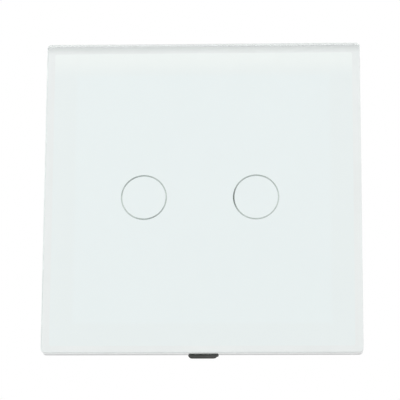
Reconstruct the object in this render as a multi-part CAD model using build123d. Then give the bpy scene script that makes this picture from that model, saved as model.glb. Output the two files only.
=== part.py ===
from build123d import *
import os
from math import cos, pi, sin

os.makedirs("parts", exist_ok=True)

# A two-way touch switch for a round wall box. A glass panel on a white plastic frame is pushed onto a
# module, and a steel plate holds the module on the wall. All sizes are in millimetres.
# X points right and Z up along the wall, and Y points into it. The origin is on the wall's face, midway
# between the two screws of the wall box.

# Glass, its print and the tape behind it
glass_thickness = 3.0
glass_corner_radius = 1.0
glass_edge_bevel = 0.25
print_inset = 2.0  # clear border round the print
print_corner_radius = 0.6
print_thickness = 0.12
ring_pitch = 28.3
ring_diameter = 11.3  # at the middle of the line
ring_line = 0.36
ring_shift = -0.65  # both rings are printed a little to the left of the spots behind them
tape_inset = 0.15
tape_width = 8.35
tape_thickness = 0.3  # behind the print; round the print it reaches forward to the glass

# Panel frame
flange_inset = 0.05
flange_edge_chamfer = 0.15
web_thickness = 1.2
skirt_inset = 2.4
skirt_wall = 1.4
skirt_off_wall = 0.3
window_play = 1.0  # round the module's cover
rim_wall = 1.2
rim_depth = 0.8
frame_rib_wall = 0.8
frame_rib_depth = 1.0
frame_rib_spacing = 8.0
blade_length = 8.0
blade_thickness = 1.2
blade_groove = 0.15
blade_groove_flat = 0.6
blade_lead_in = 0.3
blade_tip_gap = 0.7  # to the mounting plate

# Steel mounting plate
plate_thickness = 1.2
plate_corner_radius = 3.0
plate_play = 0.7  # inside the frame's skirt
plate_window_margin = 6.0  # from the edge of the cover to the window
plate_window_radius = 8.0
plate_lip_height = 1.8
plate_lip_length = 40.0
plate_edge_chamfer = 0.3  # at the back
slot_length = 7.0
slot_width = 3.8
slot_edge = 2.0
cover_to_slot = 0.5

# Spring clips and their rivets
clip_sheet = 0.3
clip_width = 6.0
clip_base_width = 4.4
clip_from_corner = 12.0  # from the plate's edge, along Z
clip_mouth = 1.6  # half the opening between the tips
clip_play = 0.02
clip_top_gap = 0.3
pinch_flat = 0.3
pinch_share = 0.6  # of the leg's height
rivet_radius = 0.75
rivet_head_radius = 1.2
rivet_head_height = 0.35
rivet_play = 0.02

# Front cover
cover_overhang = 1.0  # past the housing
cover_corner_radius = 12.0
cover_wall = 1.4
cover_face = 1.2
cover_edge_chamfer = 0.5
panel_gap = 0.68  # from the cover's face to the print
well_radius = 6.2
collar_wall = 0.8
collar_gap = 0.1
cover_boss_radius = 3.2
counterbore_depth = 2.0
head_play = 0.2
stake_radius = 1.5
stake_pin_radius = 0.75
stake_cap_radius = 1.2
stake_cap_height = 0.4
stake_inset = 3.0  # from the board's edge, along X
stake_spacing = 20.0
stake_play = 0.05
tongue_width = 7.4
tongue_thickness = 2.0
tongue_corner_radius = 1.0
tongue_past_glass = 0.28
tongue_play = 0.5

# Cover screws
screw_radius = 1.3
screw_length = 10.0
screw_head_radius = 2.4
screw_head_height = 1.8
screw_recess_length = 2.8
screw_recess_width = 0.6
screw_recess_depth = 1.0
screw_hole_play = 0.1
screw_pilot_play = 0.02

# Touch board and the parts on it
touch_board_thickness = 1.0
touch_board_play = 0.4
touch_board_cover_gap = 1.1
boss_play = 0.4
sheet_thickness = 0.2
sheet_lift_play = 0.1
sheet_opening_play = 1.0
spring_wire = 0.5
spring_base_radius = 4.6  # at the middle of the wire
spring_top_radius = 3.3
spring_turns = 2.5
spring_wire_sides = 8  # few, to keep a hidden piece light
led_length = 3.5
led_width = 2.8
led_height = 1.4
led_lens_radius = 1.1
led_lens_height = 0.2
touch_chip_length = 9.9
touch_chip_width = 3.9
touch_chip_height = 1.5
touch_chip_drop = 8.0  # below the board's middle
touch_chip_legs = 8
chip_leg_width = 0.4
chip_leg_reach = 1.0
chip_leg_thickness = 0.2
chip_stand_off = 0.1
chip_edge_chamfer = 0.2
small_part_length = 1.6
small_part_width = 0.8
small_part_height = 0.6
small_part_count = 6
small_part_spacing = 3.0
header_ways = 6
header_pitch = 2.54
header_body_height = 2.5
header_pin_side = 0.64
header_pin_tail = 0.6
header_pin_reach = 4.5
header_window_gap = 0.8
header_play = 0.02

# Terminal block, in the order in which its parts lie, from the board to the back
pole_count = 3
pole_pitch = 7.5
block_end_wall = 0.5
entry_wall = 2.0
block_cell_depth = 7.8
block_inner_wall = 1.2
block_cell_width = 5.6
block_floor = 1.0
cage_floor_play = 0.3
cage_floor = 1.0
wire_space = 3.2
blade_strip_thickness = 1.0
blade_strip_play = 0.3
cage_top = 1.6
cage_travel = 2.5
cage_top_play = 0.2
block_shelf = 0.8
clamp_screw_head_height = 2.0
clamp_screw_recess = 2.1
cage_width = 5.2
cage_depth = 5.0
cage_wall = 0.7
cage_edge_radius = 0.4
cage_offset = 3.5  # from the cell's entry side to the screw's axis
entry_funnel_depth = 0.8
entry_funnel_radius = 2.4
clamp_screw_radius = 1.5
clamp_screw_head_radius = 2.4
clamp_screw_tip_gap = 0.05
clamp_screw_play = 0.05
clamp_slot_width = 0.8
clamp_slot_depth = 1.0
strip_width = 3.2
strip_end_gap = 0.4
strip_leg_gap = 0.2
strip_tail = 0.4
strip_slot_play = 0.05
block_edge_chamfer = 0.5

# Power board and the parts on it
power_board_setback = 7.4
power_board_thickness = 1.6
board_edge = 1.35
board_play = 0.5
part_gap = 0.8
header_zone = 5.9
lead_radius = 0.35
lead_sides = 8  # few, as on the springs
lead_hole_play = 0.1
lead_tail = 1.0
part_edge_radius = 0.5
part_edge_chamfer = 0.4
relay_width = 9.0
relay_length = 18.4
relay_height = 14.0
relay_lead_inset = 1.4
transformer_width = 13.0
transformer_depth = 12.0
core_depth = 5.0
core_yoke = 1.7
core_leg = 3.0
core_window_height = 7.2
core_off_board = 0.3
bobbin_wall = 0.5
bobbin_play = 0.1
bobbin_flange = 0.6
bobbin_rail_width = 1.6
winding_setback = 0.3
transformer_lead_spacing = 3.2
film_capacitor_width = 13.0
film_capacitor_depth = 6.0
film_capacitor_height = 11.5
film_lead_spacing = 10.0
varistor_diameter = 9.0
varistor_depth = 4.5
varistor_off_board = 0.8
varistor_lead_spacing = 5.0
fuse_diameter = 8.4
fuse_height = 7.6
fuse_lead_spacing = 5.08
reservoir_diameter = 8.0
reservoir_height = 12.0
reservoir_lead_spacing = 3.5
output_diameter = 5.0
output_height = 9.0
output_lead_spacing = 2.0
can_groove_depth = 0.35
can_groove_height = 1.5
choke_diameter = 5.5
choke_height = 7.0
choke_flange = 1.0
choke_neck_radius = 2.1
choke_lead_spacing = 2.6
rectifier_length = 6.4
rectifier_width = 4.8
rectifier_height = 2.4
rectifier_legs = 2
regulator_length = 4.9
regulator_width = 3.9
regulator_height = 1.6
regulator_legs = 4

# Rear housing
housing_wall = 1.6
housing_back_wall = 2.0
housing_edge_radius = 1.2
tall_part_gap = 1.0
boss_inset = 5.4
boss_radius = 2.75
boss_floor = 1.2
block_window_play = 0.3
board_rib_wall = 1.2
board_rib_width = 2.0
board_rib_spacing = 24.0
vent_width = 1.2
vent_length = 8.0
vent_spacing = 3.0
vent_count = 6
vent_from_back = 4.0

overrun = 1.0  # by which a cutting tool passes the face it leaves

# Widths, from the parts in the housing out to the edge of the glass
block_width = pole_count * pole_pitch + 2 * block_end_wall
relay_x = block_width / 2 + part_gap + relay_width / 2
power_board_width = 2 * (relay_x + relay_width / 2 + board_edge)
housing_width = power_board_width + 2 * (board_play + housing_wall)
cover_width = housing_width + 2 * cover_overhang
box_screw_pitch = cover_width + 2 * cover_to_slot + slot_length  # 60 for a common round wall box
plate_side = box_screw_pitch + slot_length + 2 * slot_edge
skirt_inner_side = plate_side + 2 * plate_play
skirt_side = skirt_inner_side + 2 * skirt_wall
panel_side = skirt_side + 2 * skirt_inset  # 80 for one switch in a common frame size

# Heights
block_depth = entry_wall + block_cell_depth + block_inner_wall
power_board_height = (
    block_depth
    + film_capacitor_depth
    + varistor_depth
    + transformer_depth
    + 3 * part_gap
    + header_zone
)
housing_height = power_board_height + 2 * (board_play + housing_wall)
cover_height = housing_height + 2 * cover_overhang
housing_corner_radius = cover_corner_radius - cover_overhang

# Depths along Y, from the wall to the front
plate_front = -plate_thickness
touch_board_back = plate_front - sheet_thickness - stake_cap_height - sheet_lift_play
touch_board_front = touch_board_back - touch_board_thickness
cover_inside = touch_board_front - touch_board_cover_gap
cover_front = cover_inside - cover_face
print_back = cover_front - panel_gap
glass_back = print_back - print_thickness
glass_front = glass_back - glass_thickness
tape_back = print_back + tape_thickness
web_back = tape_back + web_thickness

# Depths along Y, from the wall to the back
power_board_back = power_board_setback + power_board_thickness
housing_inside = power_board_back + relay_height + tall_part_gap
housing_depth = housing_inside + housing_back_wall
cage_bottom = power_board_back + block_floor + cage_floor_play
cage_inside = cage_bottom + cage_floor
strip_front = cage_inside + wire_space
strip_back = strip_front + blade_strip_thickness
cage_top_inside = strip_back + blade_strip_play
cage_back = cage_top_inside + cage_top
shelf_front = cage_back + cage_travel + cage_top_play
clamp_head_front = shelf_front + block_shelf
clamp_head_back = clamp_head_front + clamp_screw_head_height
block_back = clamp_head_back + clamp_screw_recess

# Places along the wall
boss_x = housing_width / 2 - boss_inset
boss_z = housing_height / 2 - boss_inset
boss_spots = [(x, z) for x in (-boss_x, boss_x) for z in (-boss_z, boss_z)]
ring_spots = {"left": -ring_pitch / 2, "right": ring_pitch / 2}
clip_x = (cover_width / 2 + plate_side / 2) / 2
clip_z = plate_side / 2 - clip_from_corner
clip_spots = [(x, z) for x in (-clip_x, clip_x) for z in (-clip_z, clip_z)]
window_width = cover_width - 2 * plate_window_margin
window_height = cover_height - 2 * plate_window_margin
header_z = window_height / 2 - header_window_gap - header_pitch / 2
header_spots = [((way - (header_ways - 1) / 2) * header_pitch, header_z) for way in range(header_ways)]
touch_board_width = cover_width - 2 * (cover_wall + touch_board_play)
touch_board_height = cover_height - 2 * (cover_wall + touch_board_play)
stake_x = touch_board_width / 2 - stake_inset
stake_spots = [(x, z) for x in (-stake_x, stake_x) for z in (-stake_spacing / 2, stake_spacing / 2)]
small_parts_z = -touch_chip_drop + touch_chip_width / 2 + chip_leg_reach + small_part_length
pole_places = [(pole - (pole_count - 1) / 2) * pole_pitch for pole in range(pole_count)]
block_low = -power_board_height / 2
block_high = block_low + block_depth
cell_low = block_low + entry_wall
cell_high = cell_low + block_cell_depth
clamp_z = cell_low + cage_offset


def layer(outline, start, end):
    """Give a flat outline, drawn as seen from the room, its body between two depths."""
    rear = max(start, end)
    front = min(start, end)
    return extrude(Plane.XZ.offset(-rear) * outline, amount=rear - front)


def at_spots(outline, spots):
    """Repeat a flat outline at each place."""
    return Sketch() + [Pos(x, z) * outline for x, z in spots]


def block_between(low_x, high_x, low_z, high_z):
    """A flat rectangle given by its sides."""
    middle = Pos((low_x + high_x) / 2, (low_z + high_z) / 2)
    return middle * Rectangle(high_x - low_x, high_z - low_z)


def edges_at(solid, depth):
    """The edges of a solid that lie flat at one depth."""
    return solid.edges().filter_by_position(Axis.Y, depth, depth)


# Glass panel
def glass_plate():
    glass = layer(RectangleRounded(panel_side, panel_side, glass_corner_radius), glass_back, glass_front)
    bevelled = edges_at(glass, glass_front) + edges_at(glass, glass_back)
    return chamfer(bevelled, length=glass_edge_bevel)


def ring_outline():
    return Circle((ring_diameter + ring_line) / 2) - Circle((ring_diameter - ring_line) / 2)


def print_outline():
    side = panel_side - 2 * print_inset
    return RectangleRounded(side, side, print_corner_radius)


def back_print():
    rings = at_spots(ring_outline(), [(x + ring_shift, 0) for x in ring_spots.values()])
    return layer(print_outline() - rings, print_back, glass_back)


def ring_print(x):
    return layer(Pos(x + ring_shift, 0) * ring_outline(), print_back, glass_back)


def adhesive_tape():
    """Soft tape that bears on the print, and on the glass where it stands past the print."""
    side = panel_side - 2 * tape_inset
    inner = side - 2 * tape_width
    outline = RectangleRounded(side, side, print_corner_radius)
    tape = layer(outline - Rectangle(inner, inner), tape_back, print_back)
    return tape + layer(outline - print_outline(), print_back, glass_back)


# Panel frame
def frame_ribs():
    """Short ribs that tie the skirt to the rim of the window, clear of screws, clips and tongue."""
    rib_back = web_back + frame_rib_depth
    low = skirt_inner_side / 2
    ribs = Sketch()
    for step in (1, 2):
        place = step * frame_rib_spacing
        for side in (-1, 1):
            for half in (-1, 1):
                inner_x = cover_width / 2 + window_play
                inner_z = cover_height / 2 + window_play
                width = low - inner_x
                height = low - inner_z
                ribs += Pos(side * (inner_x + width / 2), half * place) * Rectangle(width, frame_rib_wall)
                ribs += Pos(half * place, side * (inner_z + height / 2)) * Rectangle(frame_rib_wall, height)
    return layer(ribs, rib_back, web_back)


def frame_blade(x, z):
    """A blade with a shallow groove on both faces, where the clip's legs settle."""
    half = blade_thickness / 2
    tip = plate_front - blade_tip_gap
    groove_front = pinch_depth() - blade_groove_flat / 2
    groove_back = pinch_depth() + blade_groove_flat / 2
    points = [
        (half, web_back),
        (half, groove_front - blade_groove),
        (half - blade_groove, groove_front),
        (half - blade_groove, groove_back),
        (half, groove_back + blade_groove),
        (half, tip - blade_lead_in),
        (half - blade_lead_in, tip),
    ]
    mirrored = [(-across, depth) for across, depth in reversed(points)]
    face = make_face(Polyline(*points, *mirrored, close=True))
    return Pos(x, 0, z - blade_length / 2) * extrude(face, amount=blade_length)


def panel_frame():
    flange_side = panel_side - 2 * flange_inset
    frame = layer(RectangleRounded(flange_side, flange_side, glass_corner_radius), web_back, tape_back)
    frame = chamfer(edges_at(frame, tape_back), length=flange_edge_chamfer)
    skirt = RectangleRounded(skirt_side, skirt_side, plate_corner_radius + plate_play + skirt_wall)
    skirt -= RectangleRounded(skirt_inner_side, skirt_inner_side, plate_corner_radius + plate_play)
    frame += layer(skirt, -skirt_off_wall, web_back)
    window = RectangleRounded(
        cover_width + 2 * window_play, cover_height + 2 * window_play, cover_corner_radius + window_play
    )
    rim_play = window_play + rim_wall
    rim = RectangleRounded(
        cover_width + 2 * rim_play, cover_height + 2 * rim_play, cover_corner_radius + rim_play
    )
    frame += layer(rim, web_back + rim_depth, web_back)
    frame += frame_ribs()
    frame -= layer(window, 0, tape_back)
    for x, z in clip_spots:
        frame += frame_blade(x, z)
    notch_width = tongue_width + 2 * tongue_play
    notch_top = -skirt_inner_side / 2 + overrun
    notch = block_between(-notch_width / 2, notch_width / 2, -panel_side / 2, notch_top)
    return frame - layer(notch, 0, web_back)


# Mounting plate with its clips
def plate_lip(side):
    """The plate's edge folded to the front."""
    middle = side * (plate_side - plate_thickness) / 2
    outline = Pos(middle, 0) * Rectangle(plate_thickness, plate_lip_length)
    return layer(outline, plate_front, plate_front - plate_lip_height)


def mounting_plate():
    plate = layer(RectangleRounded(plate_side, plate_side, plate_corner_radius), 0, plate_front)
    plate = chamfer(edges_at(plate, 0), length=plate_edge_chamfer)
    for side in (-1, 1):
        plate += plate_lip(side)
    slot = SlotOverall(slot_length, slot_width)
    holes = RectangleRounded(window_width, window_height, plate_window_radius)
    holes += at_spots(slot, [(-box_screw_pitch / 2, 0), (box_screw_pitch / 2, 0)])
    holes += at_spots(Circle(screw_radius + screw_hole_play), boss_spots)
    holes += at_spots(Circle(rivet_radius + rivet_play), clip_spots)
    return plate - layer(holes, 0, plate_front)


def clip_tip_depth():
    return web_back + clip_top_gap


def pinch_depth():
    return plate_front + pinch_share * (clip_tip_depth() - plate_front)


def panel_clip(x, z):
    """A folded strip: a flat base, two legs that close on the blade, and tips that open again."""
    base_depth = plate_front - clip_sheet / 2
    foot = (clip_base_width - clip_sheet) / 2
    pinch = blade_thickness / 2 - blade_groove + clip_play + clip_sheet / 2
    leg = [
        (foot, base_depth),
        (pinch, pinch_depth() + pinch_flat / 2),
        (pinch, pinch_depth() - pinch_flat / 2),
        (clip_mouth, clip_tip_depth()),
    ]
    other_leg = [(-across, depth) for across, depth in reversed(leg)]
    line = Polyline(*other_leg, *leg)
    strip = Pos(x, 0, z - clip_width / 2) * extrude(trace(line, line_width=clip_sheet), amount=clip_width)
    return strip - layer(Pos(x, z) * Circle(rivet_radius + rivet_play), 0, plate_front - 2 * clip_sheet)


def panel_clips():
    return Part() + [panel_clip(x, z) for x, z in clip_spots]


def clip_rivets():
    clip_front = plate_front - clip_sheet
    shanks = layer(at_spots(Circle(rivet_radius), clip_spots), 0, clip_front)
    head = Circle(rivet_head_radius)
    return shanks + layer(at_spots(head, clip_spots), clip_front, clip_front - rivet_head_height)


# Front cover
def cover_tongue():
    """The lug against which a screwdriver lifts the panel off."""
    low = -panel_side / 2 - tongue_past_glass
    high = -cover_height / 2 + cover_wall
    outline = block_between(-tongue_width / 2, tongue_width / 2, low, high)
    outline = fillet(outline.vertices().group_by(Axis.Y)[0], radius=tongue_corner_radius)
    return layer(outline, plate_front, plate_front - tongue_thickness)


def front_cover():
    outer = RectangleRounded(cover_width, cover_height, cover_corner_radius)
    inner = RectangleRounded(
        cover_width - 2 * cover_wall, cover_height - 2 * cover_wall, cover_corner_radius - cover_wall
    )
    cover = layer(outer, plate_front, cover_front)
    cover = chamfer(edges_at(cover, cover_front), length=cover_edge_chamfer)
    cover -= layer(inner, plate_front, cover_inside)
    wells = [(x, 0) for x in ring_spots.values()]
    collar = Circle(well_radius + collar_wall)
    cover += layer(at_spots(collar, wells), touch_board_front, print_back + collar_gap)
    cover += layer(at_spots(Circle(cover_boss_radius), boss_spots), plate_front, cover_inside)
    cover += layer(at_spots(Circle(stake_radius), stake_spots), touch_board_front, cover_inside)
    stake_end = touch_board_back + stake_cap_height
    cover += layer(at_spots(Circle(stake_pin_radius), stake_spots), stake_end, touch_board_front)
    cover += layer(at_spots(Circle(stake_cap_radius), stake_spots), stake_end, touch_board_back)
    cover += cover_tongue()
    cover -= layer(at_spots(Circle(well_radius), wells), touch_board_front, print_back)
    seat = cover_front + counterbore_depth
    cover -= layer(at_spots(Circle(screw_head_radius + head_play), boss_spots), seat, cover_front)
    return cover - layer(at_spots(Circle(screw_radius + screw_hole_play), boss_spots), plate_front, seat)


def cover_screw(x, z):
    seat = cover_front + counterbore_depth
    head_front = seat - screw_head_height
    screw = layer(Pos(x, z) * Circle(screw_radius), seat + screw_length, seat)
    screw = chamfer(edges_at(screw, seat + screw_length), length=screw_radius / 2)
    screw += layer(Pos(x, z) * Circle(screw_head_radius), seat, head_front)
    arm = Rectangle(screw_recess_length, screw_recess_width)
    cross = Pos(x, z) * (arm + Rot(0, 0, 90) * arm)
    return screw - layer(cross, head_front + screw_recess_depth, head_front)


def cover_screws():
    return Part() + [cover_screw(x, z) for x, z in boss_spots]


# Touch board
def corner_notches(width, height, radius):
    """Square cut-outs at a board's corners, round the screw bosses."""
    notches = Sketch()
    for x, z in boss_spots:
        side_x = 1 if x > 0 else -1
        side_z = 1 if z > 0 else -1
        near_x = x - side_x * radius
        near_z = z - side_z * radius
        far_x = side_x * (width / 2 + overrun)
        far_z = side_z * (height / 2 + overrun)
        low_x, high_x = sorted((near_x, far_x))
        low_z, high_z = sorted((near_z, far_z))
        notches += block_between(low_x, high_x, low_z, high_z)
    return notches


def touch_board():
    outline = Rectangle(touch_board_width, touch_board_height)
    outline -= corner_notches(touch_board_width, touch_board_height, cover_boss_radius + boss_play)
    outline -= at_spots(Circle(stake_pin_radius + stake_play), stake_spots)
    outline -= at_spots(Circle(header_pin_side), header_spots)
    return layer(outline, touch_board_back, touch_board_front)


def insulating_sheet():
    """It lies on the plate and spans its window, open round the header and the chip's parts."""
    outline = Rectangle(touch_board_width, touch_board_height)
    outline -= corner_notches(touch_board_width, touch_board_height, cover_boss_radius + boss_play)
    header_width = header_ways * header_pitch + 2 * sheet_opening_play
    outline -= Pos(0, header_z) * Rectangle(header_width, header_pitch + 2 * sheet_opening_play)
    low = -touch_chip_drop - touch_chip_width / 2 - chip_leg_reach - sheet_opening_play
    high = small_parts_z + small_part_length / 2 + sheet_opening_play
    half = small_part_count * small_part_spacing / 2
    outline -= block_between(-half, half, low, high)
    return layer(outline, plate_front, plate_front - sheet_thickness)


def spring_point(x, turn):
    """A place on the coil's centre line, which narrows steadily as it climbs to the glass."""
    share = turn / spring_turns
    radius = spring_base_radius + (spring_top_radius - spring_base_radius) * share
    first = touch_board_front - spring_wire / 2
    last = print_back + spring_wire / 2
    return Vector(
        x + radius * cos(2 * pi * turn), first + (last - first) * share, radius * sin(2 * pi * turn)
    )


def spring_heading(x, turn):
    """The direction of the coil there, as the slope of its formula."""
    share = turn / spring_turns
    radius = spring_base_radius + (spring_top_radius - spring_base_radius) * share
    inward = (spring_top_radius - spring_base_radius) / spring_turns
    climb = (print_back + spring_wire - touch_board_front) / spring_turns
    across = inward * cos(2 * pi * turn) - 2 * pi * radius * sin(2 * pi * turn)
    upward = inward * sin(2 * pi * turn) + 2 * pi * radius * cos(2 * pi * turn)
    return Vector(across, climb, upward).normalized()


def biarc(start, start_heading, end, end_heading):
    """Two arcs that meet smoothly and leave both ends in the given directions."""
    chord = end - start
    total = start_heading + end_heading
    a = 2 * (1 - start_heading.dot(end_heading))
    b = 2 * chord.dot(total)
    c = -chord.dot(chord)
    reach = (-b + (b * b - 4 * a * c) ** 0.5) / (2 * a)
    middle = (start + start_heading * reach + end - end_heading * reach) * 0.5
    first = Edge.make_tangent_arc(start, start_heading, middle)
    last = Edge.make_tangent_arc(middle, (end - end_heading * reach - middle).normalized(), end)
    return [first, last]


def touch_spring(x, name):
    steps = round(2 * spring_turns)
    arcs = []
    for step in range(steps):
        turn = step * spring_turns / steps
        following = (step + 1) * spring_turns / steps
        arcs += biarc(
            spring_point(x, turn),
            spring_heading(x, turn),
            spring_point(x, following),
            spring_heading(x, following),
        )
    path = Wire(arcs)
    section = Plane(origin=path @ 0, z_dir=path % 0) * RegularPolygon(spring_wire / 2, spring_wire_sides)
    samples = 40 * steps
    points = [path @ (index / samples) for index in range(samples + 1)]
    apart = samples // (steps // 2) // 2
    gaps = [
        (points[i] - points[j]).length
        for i in range(samples + 1)
        for j in range(i + apart, samples + 1)
    ]
    print(name, "least gap to itself", round(min(gaps) - spring_wire, 3))
    return sweep(section, path=path)


def indicator_leds():
    places = [(x, 0) for x in ring_spots.values()]
    led_front = touch_board_front - led_height
    leds = layer(at_spots(Rectangle(led_length, led_width), places), touch_board_front, led_front)
    return leds + layer(at_spots(Circle(led_lens_radius), places), led_front, led_front - led_lens_height)


def chip(x, z, length, width, height, legs, surface, side):
    """A moulded chip with legs on both long edges. side is 1 on a board's back and -1 on its front."""
    top = surface + side * height
    body = layer(Pos(x, z) * Rectangle(length, width), surface + side * chip_stand_off, top)
    body = chamfer(edges_at(body, top), length=chip_edge_chamfer)
    leg_spacing = length / legs
    shoulder = surface + side * height / 2
    for index in range(legs):
        leg_x = x + (index - (legs - 1) / 2) * leg_spacing
        for edge in (-1, 1):
            root = z + edge * width / 2
            end = root + edge * chip_leg_reach
            knee = root + edge * chip_leg_reach / 2
            upper = block_between(
                leg_x - chip_leg_width / 2, leg_x + chip_leg_width / 2, min(root, knee), max(root, knee)
            )
            foot = block_between(
                leg_x - chip_leg_width / 2, leg_x + chip_leg_width / 2, min(knee, end), max(knee, end)
            )
            stem = block_between(
                leg_x - chip_leg_width / 2,
                leg_x + chip_leg_width / 2,
                min(knee, knee - edge * chip_leg_thickness),
                max(knee, knee - edge * chip_leg_thickness),
            )
            body += layer(upper, shoulder - side * chip_leg_thickness, shoulder)
            body += layer(stem, surface, shoulder)
            body += layer(foot, surface, surface + side * chip_leg_thickness)
    return body


def touch_chip():
    return chip(
        0,
        -touch_chip_drop,
        touch_chip_length,
        touch_chip_width,
        touch_chip_height,
        touch_chip_legs,
        touch_board_back,
        1,
    )


def touch_board_small_parts():
    first = -(small_part_count - 1) / 2 * small_part_spacing
    places = [(first + index * small_part_spacing, small_parts_z) for index in range(small_part_count)]
    outline = at_spots(Rectangle(small_part_width, small_part_length), places)
    return layer(outline, touch_board_back + small_part_height, touch_board_back)


def header_outline():
    return Pos(0, header_z) * Rectangle(header_ways * header_pitch, header_pitch)


def header_pin_holes():
    hole = header_pin_side + 2 * header_play
    return at_spots(Rectangle(hole, hole), header_spots)


def header_body():
    outline = header_outline() - header_pin_holes()
    return layer(outline, touch_board_back + header_body_height, touch_board_back)


def header_pins():
    pins = at_spots(Rectangle(header_pin_side, header_pin_side), header_spots)
    return layer(
        pins, touch_board_back + header_body_height + header_pin_reach, touch_board_front - header_pin_tail
    )


def header_socket():
    socket_front = touch_board_back + header_body_height
    return layer(header_outline() - header_pin_holes(), power_board_setback, socket_front)


# Parts on the power board. Each table gives the places of a part's leads.
film_z = block_high + part_gap + film_capacitor_depth / 2
film_x = -(block_width - film_capacitor_width) / 2
varistor_z = film_z + film_capacitor_depth / 2 + part_gap + varistor_depth / 2
varistor_x = -(block_width - varistor_diameter) / 2
transformer_z = varistor_z + varistor_depth / 2 + part_gap + transformer_depth / 2
transformer_x = -(block_width - transformer_width) / 2
fuse_x = film_x + film_capacitor_width / 2 + part_gap + fuse_diameter / 2
fuse_z = block_high + part_gap + fuse_diameter / 2
reservoir_x = transformer_x + transformer_width / 2 + part_gap + reservoir_diameter / 2
reservoir_z = fuse_z + fuse_diameter / 2 + part_gap + reservoir_diameter / 2
choke_x = -(block_width / 2 + part_gap + choke_diameter / 2)
choke_z = -relay_length / 2 - part_gap - choke_diameter / 2
output_x = block_width / 2 + part_gap + output_diameter / 2
output_z = -relay_length / 2 - part_gap - output_diameter / 2


def pair(x, z, spacing):
    """The places of two leads side by side."""
    return [(x - spacing / 2, z), (x + spacing / 2, z)]


def relay_leads(x):
    across = relay_width / 2 - relay_lead_inset
    along = relay_length / 2 - relay_lead_inset
    return [(x + side * across, end * along) for side in (-1, 1) for end in (-1, 1)]


def transformer_leads():
    rail = transformer_depth / 2 - bobbin_rail_width / 2
    steps = (-1, 0, 1)
    return [
        (transformer_x + step * transformer_lead_spacing, transformer_z + end * rail)
        for step in steps
        for end in (-1, 1)
    ]


lead_spots = {
    "relay_left": relay_leads(-relay_x),
    "relay_right": relay_leads(relay_x),
    "transformer": transformer_leads(),
    "film_capacitor": pair(film_x, film_z, film_lead_spacing),
    "varistor": pair(varistor_x, varistor_z, varistor_lead_spacing),
    "fuse": pair(fuse_x, fuse_z, fuse_lead_spacing),
    "reservoir_capacitor": pair(reservoir_x, reservoir_z, reservoir_lead_spacing),
    "output_capacitor": pair(output_x, output_z, output_lead_spacing),
    "filter_choke": pair(choke_x, choke_z, choke_lead_spacing),
}


def leads(part, end):
    """The wires of a part, from a depth inside it through the board."""
    wire = RegularPolygon(lead_radius, lead_sides)
    return layer(at_spots(wire, lead_spots[part]), end, power_board_setback - lead_tail)


def relay(name, x):
    outline = Pos(x, 0) * RectangleRounded(relay_width, relay_length, part_edge_radius)
    case = layer(outline, power_board_back + relay_height, power_board_back)
    case = chamfer(edges_at(case, power_board_back + relay_height), length=part_edge_chamfer)
    return case + leads(name, power_board_back)


core_front = power_board_back + core_off_board
core_window_front = core_front + core_yoke
core_window_back = core_window_front + core_window_height
core_back = core_window_back + core_yoke
core_window_width = (transformer_width - 2 * core_yoke - core_leg) / 2
bobbin_width = core_leg + 2 * core_window_width - 2 * bobbin_play


def transformer_core():
    """Two facing E-shaped halves, glued into one block with two windows."""
    low = transformer_z - core_depth / 2
    high = transformer_z + core_depth / 2
    half = transformer_width / 2
    body = layer(block_between(transformer_x - half, transformer_x + half, low, high), core_back, core_front)
    for side in (-1, 1):
        middle = transformer_x + side * (core_leg + core_window_width) / 2
        window = block_between(
            middle - core_window_width / 2, middle + core_window_width / 2, low - overrun, high + overrun
        )
        body -= layer(window, core_window_back, core_window_front)
    return body


def transformer_bobbin():
    centre = Pos(transformer_x, transformer_z)
    hole = Rectangle(core_leg + 2 * bobbin_play, core_depth + 2 * bobbin_play)
    tube_wall = 2 * (bobbin_play + bobbin_wall)
    tube = Rectangle(core_leg + tube_wall, core_depth + tube_wall)
    flange = Rectangle(bobbin_width, transformer_depth)
    front = core_window_front + bobbin_play
    back = core_window_back - bobbin_play
    bobbin = layer(centre * (tube - hole), back, front)
    bobbin += layer(centre * (flange - hole), front + bobbin_flange, front)
    bobbin += layer(centre * (flange - hole), back, back - bobbin_flange)
    for end in (-1, 1):
        rail_z = end * (transformer_depth - bobbin_rail_width) / 2
        rail = Pos(transformer_x, transformer_z + rail_z) * Rectangle(bobbin_width, bobbin_rail_width)
        bobbin += layer(rail, front, power_board_back)
    return bobbin + leads("transformer", power_board_back)


def transformer_winding():
    tube_wall = 2 * (bobbin_play + bobbin_wall)
    hole = Rectangle(core_leg + tube_wall, core_depth + tube_wall)
    outer = RectangleRounded(
        bobbin_width - 2 * winding_setback, transformer_depth - 2 * winding_setback, part_edge_radius
    )
    front = core_window_front + bobbin_play + bobbin_flange
    back = core_window_back - bobbin_play - bobbin_flange
    return layer(Pos(transformer_x, transformer_z) * (outer - hole), back, front)


def film_capacitor():
    outline = Pos(film_x, film_z) * Rectangle(film_capacitor_width, film_capacitor_depth)
    body = layer(outline, power_board_back + film_capacitor_height, power_board_back)
    body = chamfer(edges_at(body, power_board_back + film_capacitor_height), length=part_edge_chamfer)
    return body + leads("film_capacitor", power_board_back)


def can_capacitor(name, x, z, diameter, height):
    """An upright can with the rolled groove above its rubber seal."""
    radius = diameter / 2
    foot = power_board_back
    points = [
        (0, foot),
        (radius - can_groove_depth, foot),
        (radius, foot + can_groove_depth),
        (radius, foot + can_groove_height - can_groove_depth),
        (radius - can_groove_depth, foot + can_groove_height),
        (radius, foot + can_groove_height + can_groove_depth),
        (radius, foot + height - can_groove_depth),
        (radius - can_groove_depth, foot + height),
        (0, foot + height),
    ]
    can = revolve(make_face(Polyline(*points, close=True)), axis=Axis.Y)
    return Pos(x, 0, z) * can + leads(name, foot)


def fuse():
    radius = fuse_diameter / 2
    cap = layer(Pos(fuse_x, fuse_z) * Circle(radius), power_board_back + fuse_height, power_board_back)
    cap = chamfer(edges_at(cap, power_board_back + fuse_height), length=part_edge_chamfer)
    return cap + leads("fuse", power_board_back)


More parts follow.
